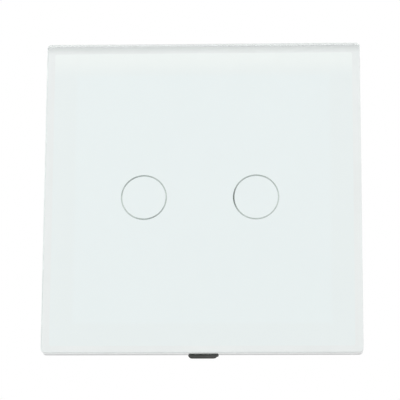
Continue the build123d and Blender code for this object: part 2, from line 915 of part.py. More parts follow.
def varistor():
    radius = varistor_diameter / 2
    middle = power_board_back + varistor_off_board + radius
    disc = Pos(varistor_x, middle, varistor_z) * Cylinder(radius, varistor_depth)
    disc = chamfer(disc.edges().filter_by(GeomType.CIRCLE), length=part_edge_chamfer)
    return disc + leads("varistor", middle)


def filter_choke():
    """A drum core with its winding drawn in between the flanges."""
    radius = choke_diameter / 2
    foot = power_board_back
    points = [
        (0, foot),
        (radius, foot),
        (radius, foot + choke_flange),
        (choke_neck_radius, foot + 2 * choke_flange),
        (choke_neck_radius, foot + choke_height - 2 * choke_flange),
        (radius, foot + choke_height - choke_flange),
        (radius, foot + choke_height),
        (0, foot + choke_height),
    ]
    drum = revolve(make_face(Polyline(*points, close=True)), axis=Axis.Y)
    return Pos(choke_x, 0, choke_z) * drum + leads("filter_choke", foot)


def bridge_rectifier():
    return chip(
        -relay_x,
        0,
        rectifier_length,
        rectifier_width,
        rectifier_height,
        rectifier_legs,
        power_board_setback,
        -1,
    )


def regulator_chip():
    return chip(
        relay_x,
        0,
        regulator_length,
        regulator_width,
        regulator_height,
        regulator_legs,
        power_board_setback,
        -1,
    )


strip_leg_low = cell_high - strip_leg_gap - blade_strip_thickness
strip_leg_high = cell_high - strip_leg_gap


def strip_slots():
    """Where the terminals' legs pass through the block's floor and the board."""
    half = strip_width / 2 + strip_slot_play
    low = strip_leg_low - strip_slot_play
    high = strip_leg_high + strip_slot_play
    slots = Sketch()
    for x in pole_places:
        slots += block_between(x - half, x + half, low, high)
    return slots


def power_board():
    outline = Rectangle(power_board_width, power_board_height)
    outline -= corner_notches(power_board_width, power_board_height, boss_radius + boss_play)
    for spots in lead_spots.values():
        outline -= at_spots(RegularPolygon(lead_radius + lead_hole_play, lead_sides), spots)
    outline -= strip_slots()
    return layer(outline, power_board_back, power_board_setback)


# Terminals
def terminal_block():
    half = block_width / 2
    block = layer(block_between(-half, half, block_low, block_high), block_back, power_board_back)
    block = chamfer(edges_at(block, block_back), length=block_edge_chamfer)
    entry_depth = cage_inside + wire_space / 2
    entry = Cylinder(wire_space / 2, entry_wall + overrun)
    funnel = Cone(entry_funnel_radius, wire_space / 2, entry_funnel_depth)
    screw_hole = Circle(clamp_screw_radius + clamp_screw_play)
    head_bore = Circle(clamp_screw_head_radius + clamp_screw_play)
    for x in pole_places:
        cell = block_between(x - block_cell_width / 2, x + block_cell_width / 2, cell_low, cell_high)
        block -= layer(cell, shelf_front, power_board_back + block_floor)
        block -= layer(Pos(x, clamp_z) * screw_hole, clamp_head_front, shelf_front)
        block -= layer(Pos(x, clamp_z) * head_bore, block_back, clamp_head_front)
        block -= Pos(x, entry_depth, block_low + (entry_wall + overrun) / 2) * entry
        block -= Pos(x, entry_depth, block_low + entry_funnel_depth / 2) * funnel
    return block - layer(strip_slots(), power_board_back + block_floor, power_board_back)


def terminal_blades():
    """Bent strips: the flat arm lies in the cage, and the leg goes through the board."""
    half = strip_width / 2
    blades = Part()
    for x in pole_places:
        arm = block_between(x - half, x + half, cell_low + strip_end_gap, strip_leg_high)
        leg = block_between(x - half, x + half, strip_leg_low, strip_leg_high)
        blades += layer(arm, strip_back, strip_front)
        blades += layer(leg, strip_front, power_board_setback - strip_tail)
    return blades


def clamp_cage(x):
    outline = Pos(x, clamp_z) * RectangleRounded(cage_width, cage_depth, cage_edge_radius)
    cage = layer(outline, cage_back, cage_bottom)
    passage_half = cage_width / 2 - cage_wall
    low = clamp_z - cage_depth / 2 - overrun
    high = clamp_z + cage_depth / 2 + overrun
    passage = block_between(x - passage_half, x + passage_half, low, high)
    cage -= layer(passage, cage_top_inside, cage_inside)
    thread = Pos(x, clamp_z) * Circle(clamp_screw_radius + clamp_screw_play)
    return cage - layer(thread, cage_back, cage_top_inside)


def terminal_screw(x):
    tip = strip_back + clamp_screw_tip_gap
    screw = layer(Pos(x, clamp_z) * Circle(clamp_screw_radius), clamp_head_front, tip)
    screw += layer(Pos(x, clamp_z) * Circle(clamp_screw_head_radius), clamp_head_back, clamp_head_front)
    slot = Pos(x, clamp_z) * Rectangle(2 * clamp_screw_head_radius, clamp_slot_width)
    return screw - layer(slot, clamp_head_back, clamp_head_back - clamp_slot_depth)


# Rear housing
def housing_vents():
    """Rows of air slots in the top wall and both side walls."""
    start = housing_inside - vent_from_back - vent_length
    slots = Part()
    row = [(index - (vent_count - 1) / 2) * vent_spacing for index in range(vent_count)]
    for place in row:
        low = place - vent_width / 2
        high = place + vent_width / 2
        top = block_between(low, high, housing_height / 2 - 2 * housing_wall, housing_height / 2)
        slots += layer(top, start + vent_length, start)
        across = housing_width / 2 + overrun
        slots += layer(block_between(-across, across, low, high), start + vent_length, start)
    return slots


def rear_housing():
    corner = housing_corner_radius
    inner_width = housing_width - 2 * housing_wall
    inner_height = housing_height - 2 * housing_wall
    housing = layer(RectangleRounded(housing_width, housing_height, corner), housing_depth, 0)
    housing = fillet(edges_at(housing, housing_depth), radius=housing_edge_radius)
    housing -= layer(RectangleRounded(inner_width, inner_height, corner - housing_wall), housing_inside, 0)
    housing -= housing_vents()
    screw_end = cover_front + counterbore_depth + screw_length
    housing += layer(at_spots(Circle(boss_radius), boss_spots), screw_end + boss_floor, 0)
    rib_low = inner_width / 2 - board_rib_wall
    for side in (-1, 1):
        for end in (-1, 1):
            rib_x = side * (rib_low + board_rib_wall / 2)
            rib = Pos(rib_x, end * board_rib_spacing / 2) * Rectangle(board_rib_wall, board_rib_width)
            housing += layer(rib, housing_inside, power_board_back)
    housing -= layer(at_spots(Circle(screw_radius + screw_pilot_play), boss_spots), screw_end, 0)
    half = block_width / 2 + block_window_play
    window = block_between(-half, half, -housing_height / 2 - overrun, block_high + block_window_play)
    return housing - layer(window, housing_depth, power_board_back + block_window_play)


side_names = ["left", "middle", "right"]
pieces = {
    "glass_plate": glass_plate(),
    "back_print": back_print(),
    "adhesive_tape": adhesive_tape(),
    "panel_frame": panel_frame(),
    "mounting_plate": mounting_plate(),
    "panel_clips": panel_clips(),
    "clip_rivets": clip_rivets(),
    "front_cover": front_cover(),
    "cover_screws": cover_screws(),
    "touch_board": touch_board(),
    "insulating_sheet": insulating_sheet(),
    "indicator_leds": indicator_leds(),
    "touch_chip": touch_chip(),
    "touch_board_small_parts": touch_board_small_parts(),
    "header_body": header_body(),
    "header_pins": header_pins(),
    "header_socket": header_socket(),
    "rear_housing": rear_housing(),
    "power_board": power_board(),
    "relay_left": relay("relay_left", -relay_x),
    "relay_right": relay("relay_right", relay_x),
    "transformer_core": transformer_core(),
    "transformer_bobbin": transformer_bobbin(),
    "transformer_winding": transformer_winding(),
    "film_capacitor": film_capacitor(),
    "reservoir_capacitor": can_capacitor(
        "reservoir_capacitor", reservoir_x, reservoir_z, reservoir_diameter, reservoir_height
    ),
    "output_capacitor": can_capacitor(
        "output_capacitor", output_x, output_z, output_diameter, output_height
    ),
    "fuse": fuse(),
    "varistor": varistor(),
    "filter_choke": filter_choke(),
    "bridge_rectifier": bridge_rectifier(),
    "regulator_chip": regulator_chip(),
    "terminal_block": terminal_block(),
    "terminal_blades": terminal_blades(),
}
for side, ring_x in ring_spots.items():
    pieces["ring_print_" + side] = ring_print(ring_x)
    pieces["touch_spring_" + side] = touch_spring(ring_x, "touch_spring_" + side)
for side, pole_x in zip(side_names, pole_places):
    pieces["clamp_cage_" + side] = clamp_cage(pole_x)
    pieces["terminal_screw_" + side] = terminal_screw(pole_x)

for name, solid in pieces.items():
    export_step(solid, "parts/" + name + ".step")
print("glass side", round(panel_side, 2), "box screw pitch", round(box_screw_pitch, 2))
print("proud of the wall", round(-glass_front, 2), "depth in the wall", round(housing_depth, 2))
corner_x = housing_width / 2 - housing_corner_radius
corner_z = housing_height / 2 - housing_corner_radius
corner_reach = (corner_x**2 + corner_z**2) ** 0.5 + housing_corner_radius
print("the housing passes a round opening of", round(2 * corner_reach, 2))
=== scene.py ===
# Finishes, glass, prints, springs, light and camera for a touch light switch with two circuits.
# Metres throughout: X right, Y into the wall, Z up, origin on the wall's face.
import bpy
import math
import numpy as np
from mathutils import Matrix, Vector


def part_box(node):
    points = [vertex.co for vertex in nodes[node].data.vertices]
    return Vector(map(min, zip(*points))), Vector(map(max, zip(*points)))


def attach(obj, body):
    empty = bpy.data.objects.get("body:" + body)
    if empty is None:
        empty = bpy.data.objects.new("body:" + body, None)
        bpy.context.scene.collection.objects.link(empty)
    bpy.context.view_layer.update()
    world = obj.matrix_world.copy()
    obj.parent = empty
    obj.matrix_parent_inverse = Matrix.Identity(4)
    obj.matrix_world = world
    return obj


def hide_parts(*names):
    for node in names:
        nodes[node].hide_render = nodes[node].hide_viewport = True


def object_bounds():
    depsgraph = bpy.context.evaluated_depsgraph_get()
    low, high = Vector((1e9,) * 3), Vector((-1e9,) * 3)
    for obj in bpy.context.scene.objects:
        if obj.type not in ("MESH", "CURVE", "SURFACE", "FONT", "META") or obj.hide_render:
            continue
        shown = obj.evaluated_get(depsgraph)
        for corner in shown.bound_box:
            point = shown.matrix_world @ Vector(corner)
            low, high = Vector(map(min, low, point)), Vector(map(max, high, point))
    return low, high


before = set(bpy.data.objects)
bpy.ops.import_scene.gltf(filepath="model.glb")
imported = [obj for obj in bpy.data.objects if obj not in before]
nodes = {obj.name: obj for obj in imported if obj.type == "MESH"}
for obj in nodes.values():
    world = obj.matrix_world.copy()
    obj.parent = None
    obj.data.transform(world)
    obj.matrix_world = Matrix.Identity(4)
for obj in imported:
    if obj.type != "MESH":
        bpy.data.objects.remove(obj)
cadLow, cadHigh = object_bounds()
scene = bpy.context.scene
mm = 0.001
print("stage: frame loaded with", len(nodes), "nodes")


# Mesh helpers
def makeMesh(name, points, faces, sharpAngle=30):
    # points is an (n, 3) array in metres, faces a list of index tuples or an array of quads
    mesh = bpy.data.meshes.new(name)
    mesh.from_pydata(np.asarray(points, float).tolist(), [], [list(map(int, face)) for face in faces])
    mesh.update()
    mesh.shade_smooth()
    mesh.set_sharp_from_angle(angle=math.radians(sharpAngle))
    piece = bpy.data.objects.new(name, mesh)
    scene.collection.objects.link(piece)
    return piece


def gridQuads(rows, columns, rowsMeet=False):
    # quads between neighbouring rows of a grid of points; the last column always meets the first,
    # and the last row meets the first too on a form that closes both ways
    row, column = np.meshgrid(np.arange(rows if rowsMeet else rows - 1), np.arange(columns), indexing="ij")
    nextRow, nextColumn = (row + 1) % rows, (column + 1) % columns
    corners = [row * columns + column, row * columns + nextColumn,
               nextRow * columns + nextColumn, nextRow * columns + column]
    return np.stack(corners, -1).reshape(-1, 4)


def roundedSquare(halfSide, radius, steps=12):
    # outline of a square with round corners: each corner is a quarter circle about a point one radius in
    turn = np.linspace(0, np.pi / 2, steps + 1)
    quarter = np.arange(4)[:, None] * np.pi / 2
    angle = (quarter + turn).ravel()
    signX = np.repeat([1, -1, -1, 1], steps + 1)
    signZ = np.repeat([1, 1, -1, -1], steps + 1)
    x = signX * (halfSide - radius) + radius * np.cos(angle)
    z = signZ * (halfSide - radius) + radius * np.sin(angle)
    return x, z


def squareLevels(levels):
    # one outline of a round-cornered square for each level, which is (half side, corner radius, depth)
    rings = []
    for halfSide, radius, depth in levels:
        x, z = roundedSquare(halfSide, radius)
        rings.append(np.stack([x, np.full_like(x, depth), z], -1))
    return np.concatenate(rings), len(rings[0])


def stackedSlab(name, levels, sharpAngle=30):
    # a slab whose outline grows or shrinks from its front level to its back one
    points, columns = squareLevels(levels)
    walls = gridQuads(len(levels), columns)[:, ::-1]
    front = list(range(columns))
    back = list(range((len(levels) - 1) * columns, len(levels) * columns))[::-1]
    return makeMesh(name, points, [front] + walls.tolist() + [back], sharpAngle)


def squareFrame(name, levels, sharpAngle=30):
    # an open frame: the levels are the corners of its section, in order from the front's inner edge outwards
    points, columns = squareLevels(levels)
    return makeMesh(name, points, gridQuads(len(levels), columns, True)[:, ::-1], sharpAngle)


def turned(name, middle, profile, steps=48, sharpAngle=30):
    # a profile of (radius, depth) corners carried round an axis along Y, closed back to its first corner
    angle = np.arange(steps) * 2 * np.pi / steps
    rings = [np.stack([middle[0] + r * np.cos(angle), np.full(steps, y), middle[1] + r * np.sin(angle)], -1)
             for r, y in profile]
    return makeMesh(name, np.concatenate(rings), gridQuads(len(profile), steps, True)[:, ::-1], sharpAngle)


def wireAlong(name, path, radius, sides=14):
    # a round wire: a circle square to the path at each point, its first radius square to Y too
    tangent = np.gradient(path, axis=0)
    tangent /= np.linalg.norm(tangent, axis=1)[:, None]
    side = np.cross(tangent, [0.0, 1.0, 0.0])  # the wires here never run straight along Y
    side /= np.linalg.norm(side, axis=1)[:, None]
    rise = np.cross(side, tangent)
    angle = np.arange(sides) * 2 * np.pi / sides
    circle = np.cos(angle)[None, :, None] * side[:, None] + np.sin(angle)[None, :, None] * rise[:, None]
    points = (path[:, None] + radius * circle).reshape(-1, 3)
    walls = gridQuads(len(path), sides)
    caps = [list(range(sides))[::-1], list(range((len(path) - 1) * sides, len(path) * sides))]
    return makeMesh(name, points, walls.tolist() + caps, 50)


# Node helpers
def put(tree, kind, inputs=None, **settings):
    # adds one shader node; a value in inputs is a number, a colour or the socket to link from
    node = tree.nodes.new("ShaderNode" + kind)
    for key, value in settings.items():
        setattr(node, key, value)
    for key, value in (inputs or {}).items():
        feed(tree, node.inputs[key], value)
    return node


def feed(tree, socket, value):
    if isinstance(value, bpy.types.NodeSocket):
        tree.links.new(value, socket)
    elif getattr(socket, "type", "") == "RGBA" and len(value) == 3:
        socket.default_value = (*value, 1)
    else:
        socket.default_value = value


def blendColour(tree, factor, first, second, how="MIX"):
    node = put(tree, "Mix", data_type="RGBA", blend_type=how)
    feed(tree, node.inputs[0], factor)
    feed(tree, node.inputs[6], first)
    feed(tree, node.inputs[7], second)
    return node.outputs[2]


def spread(tree, value, low, high, fromLow=0.0, fromHigh=1.0, how="LINEAR"):
    # a value between fromLow and fromHigh carried over to low and high, evenly or in a smooth step
    node = put(tree, "MapRange", {0: value, 1: fromLow, 2: fromHigh, 3: low, 4: high}, interpolation_type=how)
    return node.outputs[0]


def calc(tree, operation, *values):
    node = put(tree, "Math", dict(enumerate(values)), operation=operation)
    return node.outputs[0]


def bumpFrom(tree, height, distance, strength=1.0):
    return put(tree, "Bump", {"Height": height, "Distance": distance, "Strength": strength}).outputs["Normal"]


def objectPoint(tree):
    return put(tree, "TexCoord").outputs["Object"]


def shiftedPoint(tree, point, middle, stretch=(1, 1, 1)):
    # the same point seen from another middle, and stretched about it
    moved = put(tree, "VectorMath", {0: point, 1: middle}, operation="SUBTRACT").outputs[0]
    return put(tree, "VectorMath", {0: moved, 1: stretch}, operation="MULTIPLY").outputs[0]


def newGroup(name, takes, gives):
    group = bpy.data.node_groups.new(name, "ShaderNodeTree")
    for label, kind in takes.items():
        group.interface.new_socket(name=label, in_out="INPUT", socket_type="NodeSocket" + kind)
    for label, kind in gives.items():
        group.interface.new_socket(name=label, in_out="OUTPUT", socket_type="NodeSocket" + kind)
    return group, group.nodes.new("NodeGroupInput"), group.nodes.new("NodeGroupOutput")


def useGroup(tree, group, values):
    node = tree.nodes.new("ShaderNodeGroup")
    node.node_tree = group
    for key, value in values.items():
        feed(tree, node.inputs[key], value)
    return node.outputs


def newMaterial(name):
    material = bpy.data.materials.new(name)
    material.use_nodes = True
    return material, material.node_tree, material.node_tree.nodes["Principled BSDF"]


# Shared effects
def makeMouldTexture():
    # spark-eroded mould face: small round pits over a slow cloud of shade
    tree, given, wanted = newGroup("mouldTexture", {"Point": "Vector", "Grain": "Float", "Cloud": "Float"},
                                   {"Height": "Float", "Cloud": "Float", "Pit": "Float"})
    pits = put(tree, "TexVoronoi", {"Vector": given.outputs["Point"], "Scale": given.outputs["Grain"]},
               feature="SMOOTH_F1")
    rough = put(tree, "TexNoise", {"Vector": given.outputs["Point"], "Scale": given.outputs["Grain"],
                                   "Detail": 3.0, "Roughness": 0.6})
    slow = put(tree, "TexNoise", {"Vector": given.outputs["Point"], "Scale": given.outputs["Cloud"],
                                  "Detail": 4.0, "Roughness": 0.55})
    height = calc(tree, "MULTIPLY_ADD", rough.outputs[0], 0.6, calc(tree, "MULTIPLY", pits.outputs[0], 0.4))
    tree.links.new(height, wanted.inputs["Height"])
    tree.links.new(spread(tree, slow.outputs[0], 0, 1, 0.3, 0.7), wanted.inputs["Cloud"])
    tree.links.new(spread(tree, pits.outputs[0], 1, 0, 0.0, 0.35), wanted.inputs["Pit"])
    return tree


def makeRolledMetal():
    # rolled or drawn metal: long fine streaks, broad stains and small bright grains of plating
    tree, given, wanted = newGroup("rolledMetal", {"Point": "Vector", "Streak": "Float", "Grain": "Float"},
                                   {"Streak": "Float", "Stain": "Float", "Grain": "Float"})
    drawn = shiftedPoint(tree, given.outputs["Point"], (0, 0, 0), (1, 1, 0.03))
    streak = put(tree, "TexNoise", {"Vector": drawn, "Scale": given.outputs["Streak"], "Detail": 5.0,
                                    "Roughness": 0.65})
    stain = put(tree, "TexNoise", {"Vector": given.outputs["Point"], "Scale": 90.0, "Detail": 3.0})
    grain = put(tree, "TexVoronoi", {"Vector": given.outputs["Point"], "Scale": given.outputs["Grain"]})
    tree.links.new(spread(tree, streak.outputs[0], 0, 1, 0.32, 0.68), wanted.inputs["Streak"])
    tree.links.new(spread(tree, stain.outputs[0], 0, 1, 0.35, 0.65), wanted.inputs["Stain"])
    tree.links.new(put(tree, "SeparateColor", {0: grain.outputs["Color"]}).outputs[0], wanted.inputs["Grain"])
    return tree


def makeDust():
    # sparse specks of dust and lint that dull a surface
    tree, given, wanted = newGroup("dust", {"Point": "Vector", "Amount": "Float"}, {"Mask": "Float"})
    specks = put(tree, "TexVoronoi", {"Vector": given.outputs["Point"], "Scale": 900.0, "Randomness": 1.0})
    patches = put(tree, "TexNoise", {"Vector": given.outputs["Point"], "Scale": 60.0, "Detail": 3.0})
    near = spread(tree, specks.outputs[0], 1, 0, 0.02, 0.09)
    where = spread(tree, patches.outputs[0], 0, 1, 0.52, 0.68)
    mask = calc(tree, "MULTIPLY", calc(tree, "MULTIPLY", near, where), given.outputs["Amount"])
    tree.links.new(mask, wanted.inputs["Mask"])
    return tree


mouldTexture = makeMouldTexture()
rolledMetal = makeRolledMetal()
dust = makeDust()


# Finishes that more than one piece uses
def mouldedPlastic(name, look):
    material, tree, shader = newMaterial(name)
    point = objectPoint(tree)
    face = useGroup(tree, mouldTexture, {"Point": point, "Grain": look["grain"], "Cloud": look["cloud"]})
    specks = useGroup(tree, dust, {"Point": point, "Amount": look["dust"]})["Mask"]
    tone = blendColour(tree, face["Cloud"], look["colour"], look["shade"])
    # painted shade: the pits are darkened towards the shade colour
    tone = blendColour(tree, calc(tree, "MULTIPLY", face["Pit"], look["paintedPitShade"]), tone, look["shade"])
    feed(tree, shader.inputs["Base Color"], blendColour(tree, specks, tone, look["dustColour"]))
    gloss = spread(tree, face["Cloud"], look["roughness"][0], look["roughness"][1])
    feed(tree, shader.inputs["Roughness"], calc(tree, "ADD", gloss, calc(tree, "MULTIPLY", specks, 0.3)))
    feed(tree, shader.inputs["Normal"], bumpFrom(tree, face["Height"], look["depth"], look["strength"]))
    shader.inputs["IOR"].default_value = 1.49
    shader.inputs["Specular IOR Level"].default_value = look["specular"]
    return material


def platedMetal(name, look):
    material, tree, shader = newMaterial(name)
    point = objectPoint(tree)
    face = useGroup(tree, rolledMetal, {"Point": point, "Streak": look["streak"], "Grain": look["grain"]})
    tone = blendColour(tree, face["Stain"], look["colour"], look["stain"])
    tone = blendColour(tree, calc(tree, "MULTIPLY", face["Grain"], look["grainShade"]), tone, look["bright"])
    feed(tree, shader.inputs["Base Color"], tone)
    gloss = spread(tree, face["Streak"], look["roughness"][0], look["roughness"][1])
    feed(tree, shader.inputs["Roughness"], gloss)
    feed(tree, shader.inputs["Normal"], bumpFrom(tree, face["Streak"], look["depth"], 0.6))
    shader.inputs["Metallic"].default_value = 1.0
    return material


def dress(material, *names):
    # gives CAD nodes their finish
    for name in names:
        mesh = nodes[name].data
        mesh.materials.clear()
        mesh.materials.append(material)


# Glass plate: clear, with ground and polished edges
glassLook = {
    "bevel": 0.25 * mm, "cornerRadius": 1.0 * mm, "bevelSteps": 4,
    "tint": (0.955, 0.985, 0.978), "edgeTint": (0.62, 0.64, 0.63), "straightTint": (0.97, 0.99, 0.985), "ior": 1.5,
    "ripple": 700.0, "faceRoughness": (0.0, 0.004), "edgeRoughness": (0.002, 0.01),
    "grind": 300.0, "grindStretch": (1, 25, 1), "grindDepth": 0.0003 * mm,
    "topFrost": 0.28, "frostColour": (0.95, 0.96, 0.955),
    "sideUpTo": 0.3,  # how far forward a face may point and still belong to the ground sides
    "topFrom": 0.7,  # how far up a side has to point to be the top one
}


def clearGlass(name, tint, roughness, ground=False, frost=0.0):
    material, tree, shader = newMaterial(name)
    point = objectPoint(tree)
    noise = put(tree, "TexNoise", {"Vector": point, "Scale": glassLook["ripple"], "Detail": 4.0}).outputs[0]
    feed(tree, shader.inputs["Roughness"], spread(tree, noise, *roughness))
    body = shader.outputs[0]
    if ground:  # fine lines along the side
        lines = shiftedPoint(tree, point, (0, 0, 0), glassLook["grindStretch"])
        scratch = put(tree, "TexNoise", {"Vector": lines, "Scale": glassLook["grind"], "Detail": 5.0}).outputs[0]
        feed(tree, shader.inputs["Normal"], bumpFrom(tree, scratch, glassLook["grindDepth"], 0.5))
    if frost:  # dust and grinding marks that catch the light from above
        dull = put(tree, "BsdfTranslucent", {"Color": glassLook["frostColour"]}).outputs[0]
        body = put(tree, "MixShader", {0: frost, 1: body, 2: dull}).outputs[0]
    feed(tree, shader.inputs["Base Color"], tint)
    shader.inputs["IOR"].default_value = glassLook["ior"]
    shader.inputs["Transmission Weight"].default_value = 1.0
    # light reaches what lies behind the glass straight through it
    path = put(tree, "LightPath").outputs
    straight = calc(tree, "MAXIMUM", path["Is Shadow Ray"], path["Is Diffuse Ray"])
    clear = put(tree, "BsdfTransparent", {"Color": glassLook["straightTint"]})
    mixed = put(tree, "MixShader", {0: straight, 1: body, 2: clear.outputs[0]})
    tree.links.new(mixed.outputs[0], tree.nodes["Material Output"].inputs["Surface"])
    return material


def buildGlass():
    # an upright side between two quarter-round bevels, front and back faces flat
    low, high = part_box("glass_plate")
    half, bevel, radius = high.x, glassLook["bevel"], glassLook["cornerRadius"]
    turn = np.linspace(0, np.pi / 2, glassLook["bevelSteps"] + 1)
    inset, rise = bevel * (1 - np.sin(turn)), bevel * (1 - np.cos(turn))
    front = [(half - i, radius - i, low.y + r) for i, r in zip(inset, rise)]
    back = [(half - i, radius - i, high.y - r) for i, r in zip(inset, rise)][::-1]
    piece = stackedSlab("glassPlate", front + back, 12)
    mesh = piece.data
    edge = glassLook["edgeTint"], glassLook["edgeRoughness"], True
    mesh.materials.append(clearGlass("clearGlass", glassLook["tint"], glassLook["faceRoughness"]))
    mesh.materials.append(clearGlass("groundEdge", *edge))
    mesh.materials.append(clearGlass("groundTopEdge", *edge, glassLook["topFrost"]))
    for face in mesh.polygons:  # the bevels are polished clear, the sides ground
        if abs(face.normal.y) < glassLook["sideUpTo"]:
            face.material_index = 2 if face.normal.z > glassLook["topFrom"] else 1
    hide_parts("glass_plate")
    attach(piece, "panel")


buildGlass()
print("stage: glass")


# White print and silver rings on the back of the glass
printLook = {
    "into": 0.004 * mm,  # ink lies in contact with the glass
    "cornerRadius": 0.6 * mm, "grain": 5200.0, "grainDepth": 0.001 * mm, "cloud": 45.0, "cloudShare": 0.06,
    "colour": (0.857, 0.892, 0.899), "borderColour": (0.853, 0.881, 0.884), "paler": (0.89, 0.915, 0.915),
    "borderInner": 31.5 * mm, "borderFull": 33.0 * mm,  # from the middle, over the tape behind
    # painted light: the print is paler from topFrom to topFull towards the top edge
    "paintedTopLightColour": (0.905, 0.922, 0.912), "topFrom": 31.0 * mm, "topFull": 37.0 * mm,
    "roughness": (0.42, 0.5), "ior": 1.05,  # hardly any gloss: the ink lies on glass, not in air
}
ringLook = {
    "line": 0.36 * mm, "into": 0.006 * mm, "thickness": 0.026 * mm, "steps": 128,
    # the ink's tones; the painted reflection moves it between them
    "light": (0.66, 0.70, 0.68), "dark": (0.25, 0.29, 0.28), "paintedReflectionDeepest": (0.09, 0.11, 0.105),
    "flakes": 900.0, "flakeShade": 0.15, "flakeDepth": 0.001 * mm, "roughness": (0.28, 0.5), "metallic": 0.6,
    # painted reflection: the mean darkness of the ink round each ring
    "paintedReflectionMean": {"left": 0.66, "right": 0.53},
    # painted reflection: how much darker the ink is painted to one side, to both sides and in one short arc, and at
    # which degrees from +X
    "paintedReflectionOneSide": {"left": (0.06, 110), "right": (0.15, 115)}, "paintedReflectionBothSides": {"left": (0.23, 110), "right": (0.13, 90)},
    "paintedReflectionArc": {"left": (0.0, 0), "right": (1.0, 182)}, "arcSharpness": 6.5,
}


def whitePrint():
    material, tree, shader = newMaterial("whitePrint")
    point = objectPoint(tree)
    parts = put(tree, "SeparateXYZ", {0: point}).outputs
    away = calc(tree, "MAXIMUM", calc(tree, "ABSOLUTE", parts["X"]), calc(tree, "ABSOLUTE", parts["Z"]))
    border = spread(tree, away, 0.0, 1.0, printLook["borderInner"], printLook["borderFull"], "SMOOTHSTEP")
    # painted light, growing towards the top edge
    paintedTopRamp = spread(tree, parts["Z"], 0.0, 1.0, printLook["topFrom"], printLook["topFull"], "SMOOTHSTEP")
    cloud = put(tree, "TexNoise", {"Vector": point, "Scale": printLook["cloud"], "Detail": 2.0}).outputs[0]
    tone = blendColour(tree, border, printLook["colour"], printLook["borderColour"])
    tone = blendColour(tree, paintedTopRamp, tone, printLook["paintedTopLightColour"])
    tone = blendColour(tree, spread(tree, cloud, 0.0, printLook["cloudShare"], 0.35, 0.65), tone, printLook["paler"])
    feed(tree, shader.inputs["Base Color"], tone)
    dots = put(tree, "TexVoronoi", {"Vector": point, "Scale": printLook["grain"]}).outputs[0]
    feed(tree, shader.inputs["Roughness"], spread(tree, dots, *printLook["roughness"]))
    feed(tree, shader.inputs["Normal"], bumpFrom(tree, dots, printLook["grainDepth"], 0.2))
    shader.inputs["IOR"].default_value = printLook["ior"]
    return material


def silverPrint(side, middleX):
    # silver ink with a painted reflection that darkens it round the ring: by the cosine of the angle and of its
    # double, and by a high power of the cosine in the short arc
    material, tree, shader = newMaterial("silverPrint" + side.capitalize())
    point = shiftedPoint(tree, objectPoint(tree), (middleX, 0, 0))
    parts = put(tree, "SeparateXYZ", {0: point}).outputs
    angle = calc(tree, "ARCTAN2", parts["Z"], parts["X"])
    dark = ringLook["paintedReflectionMean"][side]
    for turns, key in ((1, "paintedReflectionOneSide"), (2, "paintedReflectionBothSides")):
        amount, at = ringLook[key][side]
        paintedReflectionWave = calc(tree, "COSINE", calc(tree, "MULTIPLY", calc(tree, "SUBTRACT", angle, math.radians(at)), turns))
        dark = calc(tree, "MULTIPLY_ADD", paintedReflectionWave, amount, dark)
    amount, at = ringLook["paintedReflectionArc"][side]
    paintedReflectionWave = calc(tree, "MAXIMUM", calc(tree, "COSINE", calc(tree, "SUBTRACT", angle, math.radians(at))), 0.0)
    arc = calc(tree, "MULTIPLY", calc(tree, "POWER", paintedReflectionWave, ringLook["arcSharpness"]), amount)
    flakes = put(tree, "TexNoise", {"Vector": point, "Scale": ringLook["flakes"], "Detail": 3.0}).outputs[0]
    shade = ringLook["flakeShade"]
    dark = calc(tree, "ADD", dark, spread(tree, flakes, -shade, shade, 0.3, 0.7))
    # the painted reflection, with the flakes' own grain, blends the ink from light to dark
    tone = blendColour(tree, dark, ringLook["light"], ringLook["dark"])
    feed(tree, shader.inputs["Base Color"], blendColour(tree, arc, tone, ringLook["paintedReflectionDeepest"]))
    feed(tree, shader.inputs["Roughness"], spread(tree, flakes, *ringLook["roughness"], 0.3, 0.7))
    feed(tree, shader.inputs["Normal"], bumpFrom(tree, flakes, ringLook["flakeDepth"], 0.3))
    shader.inputs["Metallic"].default_value = ringLook["metallic"]
    return material


def buildPrints():
    low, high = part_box("back_print")
    half, radius = high.x, printLook["cornerRadius"]
    sheet = stackedSlab("whiteBackPrint", [(half, radius, low.y - printLook["into"]), (half, radius, high.y)])
    sheet.data.materials.append(whitePrint())
    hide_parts("back_print")
    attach(sheet, "panel")
    for side in ("left", "right"):
        node = "ring_print_" + side
        ringLow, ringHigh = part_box(node)
        middleX, outer = (ringLow.x + ringHigh.x) / 2, (ringHigh.x - ringLow.x) / 2
        inner, front = outer - ringLook["line"], ringLow.y - ringLook["into"]
        back = front + ringLook["thickness"]
        section = [(inner, front), (outer, front), (outer, back), (inner, back)]
        ring = turned("silverRing" + side.capitalize(), (middleX, 0), section, ringLook["steps"])
        ring.data.materials.append(silverPrint(side, middleX))
        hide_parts(node)
        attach(ring, "panel")


buildPrints()
print("stage: prints")


# Foam tape: it bears on the print, and round the print it is squeezed against the glass
tapeLook = {"colour": (0.87, 0.875, 0.875), "shade": (0.845, 0.85, 0.85), "dustColour": (0.7, 0.7, 0.69),
            "grain": 5000.0, "cloud": 70.0, "dust": 0.05, "paintedPitShade": 0.1, "roughness": (0.7, 0.85),
            "depth": 0.004 * mm, "strength": 0.4, "specular": 0.5, "width": 8.35 * mm, "innerRadius": 0.05 * mm,
            # painted shade at the top edge
            "paintedTopShade": (0.77, 0.77, 0.77)}


def foamTape():
    # white foam, with painted shade that greys it towards the panel's top edge
    material = mouldedPlastic("whiteTape", tapeLook)
    tree = material.node_tree
    colour = tree.nodes["Principled BSDF"].inputs["Base Color"]
    white = colour.links[0].from_socket
    height = put(tree, "SeparateXYZ", {0: objectPoint(tree)}).outputs["Z"]
    printEdge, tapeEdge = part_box("back_print")[1].z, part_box("adhesive_tape")[1].z
    # painted shade from the print's top edge up to the tape's top edge
    paintedTopRamp = spread(tree, height, 0.0, 1.0, printEdge, tapeEdge)
    feed(tree, colour, blendColour(tree, paintedTopRamp, white, tapeLook["paintedTopShade"], "MULTIPLY"))
    return material


